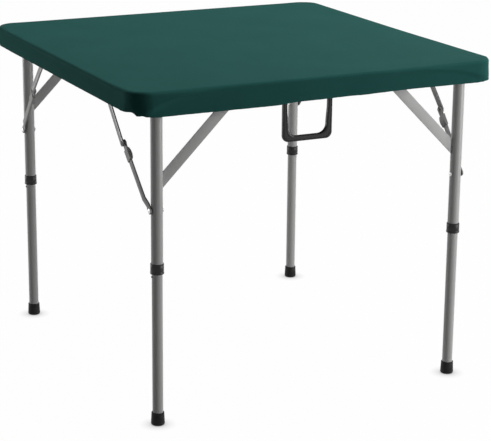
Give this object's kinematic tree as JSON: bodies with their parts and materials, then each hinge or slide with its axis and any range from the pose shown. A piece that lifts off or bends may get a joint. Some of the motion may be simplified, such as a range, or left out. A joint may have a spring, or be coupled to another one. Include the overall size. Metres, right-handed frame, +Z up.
{
  "type": "folding card table",
  "caption": "Square bi-fold card table with folding braced legs, pull-off leg extensions, carry handle and fitted elastic cover.",
  "frame": {"origin": "on the floor under the middle of the top", "axes": "+Z up, +X along the fold line to the right as seen from the handle side, +Y from the handle side to the rear"},
  "size_m": [0.8696, 0.8696, 0.7373],
  "materials": {
    "cover_cloth": "matt stretch knit, dark green",
    "moulded_top": "white blow-moulded plastic, fine grain",
    "grey_steel": "grey powder coat, satin",
    "black_plastic": "black moulded plastic, satin",
    "black_rubber": "black rubber, matt",
    "bright_steel": "bright zinc",
    "yellow_zinc": "yellow zinc plate"
  },
  "bodies": {
    "front_half": {"front_panel": "moulded_top", "front_left_rail": "grey_steel", "front_right_rail": "grey_steel", "front_rail_caps": "black_plastic", "fold_tube": "grey_steel", "fold_tube_clips": "black_plastic", "front_hinge_leaves": "yellow_zinc", "hinge_pins": "bright_steel", "handle_brackets": "black_plastic", "front_storage_clips": "black_plastic", "front_leg_catches": "black_plastic", "front_fasteners": "bright_steel", "front_cover": "cover_cloth"},
    "rear_half": {"rear_panel": "moulded_top", "rear_left_rail": "grey_steel", "rear_right_rail": "grey_steel", "rear_rail_caps": "black_plastic", "rear_hinge_leaves": "yellow_zinc", "rear_saddles": "black_plastic", "rear_storage_clips": "black_plastic", "rear_leg_catches": "black_plastic", "rear_fasteners": "bright_steel", "rear_cover": "cover_cloth"},
    "front_legs": {"front_cross_tube": "grey_steel", "front_leg_pins": "bright_steel", "front_left_leg": "grey_steel", "front_left_collar": "black_plastic", "front_left_strap": "grey_steel", "front_right_leg": "grey_steel", "front_right_collar": "black_plastic", "front_right_strap": "grey_steel"},
    "front_left_extension_leg": {"front_left_extension": "grey_steel", "front_left_foot": "black_rubber"},
    "front_left_upper_link": {"front_left_rail_link": "grey_steel"},
    "front_left_lower_link": {"front_left_leg_link": "grey_steel"},
    "front_left_ring": {"front_left_lock_ring": "grey_steel"},
    "front_right_extension_leg": {"front_right_extension": "grey_steel", "front_right_foot": "black_rubber"},
    "front_right_upper_link": {"front_right_rail_link": "grey_steel"},
    "front_right_lower_link": {"front_right_leg_link": "grey_steel"},
    "front_right_ring": {"front_right_lock_ring": "grey_steel"},
    "rear_legs": {"rear_cross_tube": "grey_steel", "rear_leg_pins": "bright_steel", "rear_left_leg": "grey_steel", "rear_left_collar": "black_plastic", "rear_left_strap": "grey_steel", "rear_right_leg": "grey_steel", "rear_right_collar": "black_plastic", "rear_right_strap": "grey_steel"},
    "rear_left_extension_leg": {"rear_left_extension": "grey_steel", "rear_left_foot": "black_rubber"},
    "rear_left_upper_link": {"rear_left_rail_link": "grey_steel"},
    "rear_left_lower_link": {"rear_left_leg_link": "grey_steel"},
    "rear_left_ring": {"rear_left_lock_ring": "grey_steel"},
    "rear_right_extension_leg": {"rear_right_extension": "grey_steel", "rear_right_foot": "black_rubber"},
    "rear_right_upper_link": {"rear_right_rail_link": "grey_steel"},
    "rear_right_lower_link": {"rear_right_leg_link": "grey_steel"},
    "rear_right_ring": {"rear_right_lock_ring": "grey_steel"},
    "carry_handle": {"handle": "black_plastic"}
  },
  "joints": [
    {"name": "fold", "type": "hinge", "parent": "front_half", "child": "rear_half", "pos_m": [0, 0, 0.688], "axis": [1, 0, 0], "range_deg": [-55, 0]},
    {"name": "front_legs_fold", "type": "hinge", "parent": "front_half", "child": "front_legs", "pos_m": [0, -0.393, 0.709], "axis": [1, 0, 0], "range_deg": [0, 90]},
    {"name": "front_left_extension_pull", "type": "slide", "parent": "front_legs", "child": "front_left_extension_leg", "axis": [0, 0, -1], "range_m": [0, 0.6]},
    {"name": "front_left_rail_link_turn", "type": "hinge", "parent": "front_half", "child": "front_left_upper_link", "pos_m": [-0.3942, -0.176, 0.709], "axis": [1, 0, 0], "range_deg": [-46.99, 0]},
    {"name": "front_left_leg_link_turn", "type": "hinge", "parent": "front_legs", "child": "front_left_lower_link", "pos_m": [-0.38, -0.393, 0.478], "axis": [1, 0, 0], "range_deg": [0, 43.41]},
    {"name": "front_left_ring_slide", "type": "slide", "parent": "front_left_lower_link", "child": "front_left_ring", "axis": [0.0376, -0.6842, -0.7283], "range_m": [0, 0.035]},
    {"name": "front_right_extension_pull", "type": "slide", "parent": "front_legs", "child": "front_right_extension_leg", "axis": [0, 0, -1], "range_m": [0, 0.6]},
    {"name": "front_right_rail_link_turn", "type": "hinge", "parent": "front_half", "child": "front_right_upper_link", "pos_m": [0.3942, -0.176, 0.709], "axis": [1, 0, 0], "range_deg": [-46.99, 0]},
    {"name": "front_right_leg_link_turn", "type": "hinge", "parent": "front_legs", "child": "front_right_lower_link", "pos_m": [0.38, -0.393, 0.478], "axis": [1, 0, 0], "range_deg": [0, 43.41]},
    {"name": "front_right_ring_slide", "type": "slide", "parent": "front_right_lower_link", "child": "front_right_ring", "axis": [-0.0376, -0.6842, -0.7283], "range_m": [0, 0.035]},
    {"name": "rear_legs_fold", "type": "hinge", "parent": "rear_half", "child": "rear_legs", "pos_m": [0, 0.393, 0.709], "axis": [-1, 0, 0], "range_deg": [0, 90]},
    {"name": "rear_left_extension_pull", "type": "slide", "parent": "rear_legs", "child": "rear_left_extension_leg", "axis": [0, 0, -1], "range_m": [0, 0.6]},
    {"name": "rear_left_rail_link_turn", "type": "hinge", "parent": "rear_half", "child": "rear_left_upper_link", "pos_m": [-0.3942, 0.176, 0.709], "axis": [-1, 0, 0], "range_deg": [-46.99, 0]},
    {"name": "rear_left_leg_link_turn", "type": "hinge", "parent": "rear_legs", "child": "rear_left_lower_link", "pos_m": [-0.38, 0.393, 0.478], "axis": [-1, 0, 0], "range_deg": [0, 43.41]},
    {"name": "rear_left_ring_slide", "type": "slide", "parent": "rear_left_lower_link", "child": "rear_left_ring", "axis": [0.0376, 0.6842, -0.7283], "range_m": [0, 0.035]},
    {"name": "rear_right_extension_pull", "type": "slide", "parent": "rear_legs", "child": "rear_right_extension_leg", "axis": [0, 0, -1], "range_m": [0, 0.6]},
    {"name": "rear_right_rail_link_turn", "type": "hinge", "parent": "rear_half", "child": "rear_right_upper_link", "pos_m": [0.3942, 0.176, 0.709], "axis": [-1, 0, 0], "range_deg": [-46.99, 0]},
    {"name": "rear_right_leg_link_turn", "type": "hinge", "parent": "rear_legs", "child": "rear_right_lower_link", "pos_m": [0.38, 0.393, 0.478], "axis": [-1, 0, 0], "range_deg": [0, 43.41]},
    {"name": "rear_right_ring_slide", "type": "slide", "parent": "rear_right_lower_link", "child": "rear_right_ring", "axis": [-0.0376, 0.6842, -0.7283], "range_m": [0, 0.035]},
    {"name": "handle_swing", "type": "hinge", "parent": "front_half", "child": "carry_handle", "pos_m": [0, -0.364, 0.697], "axis": [1, 0, 0], "range_deg": [-76, 80]}
  ],
  "couplings": [
    {"joint": "front_left_rail_link_turn", "follows": "front_legs_fold", "ratio": -0.51989},
    {"joint": "front_left_leg_link_turn", "follows": "front_legs_fold", "ratio": 0.48011},
    {"joint": "front_right_rail_link_turn", "follows": "front_legs_fold", "ratio": -0.51989},
    {"joint": "front_right_leg_link_turn", "follows": "front_legs_fold", "ratio": 0.48011},
    {"joint": "rear_left_rail_link_turn", "follows": "rear_legs_fold", "ratio": -0.51989},
    {"joint": "rear_left_leg_link_turn", "follows": "rear_legs_fold", "ratio": 0.48011},
    {"joint": "rear_right_rail_link_turn", "follows": "rear_legs_fold", "ratio": -0.51989},
    {"joint": "rear_right_leg_link_turn", "follows": "rear_legs_fold", "ratio": 0.48011}
  ]
}
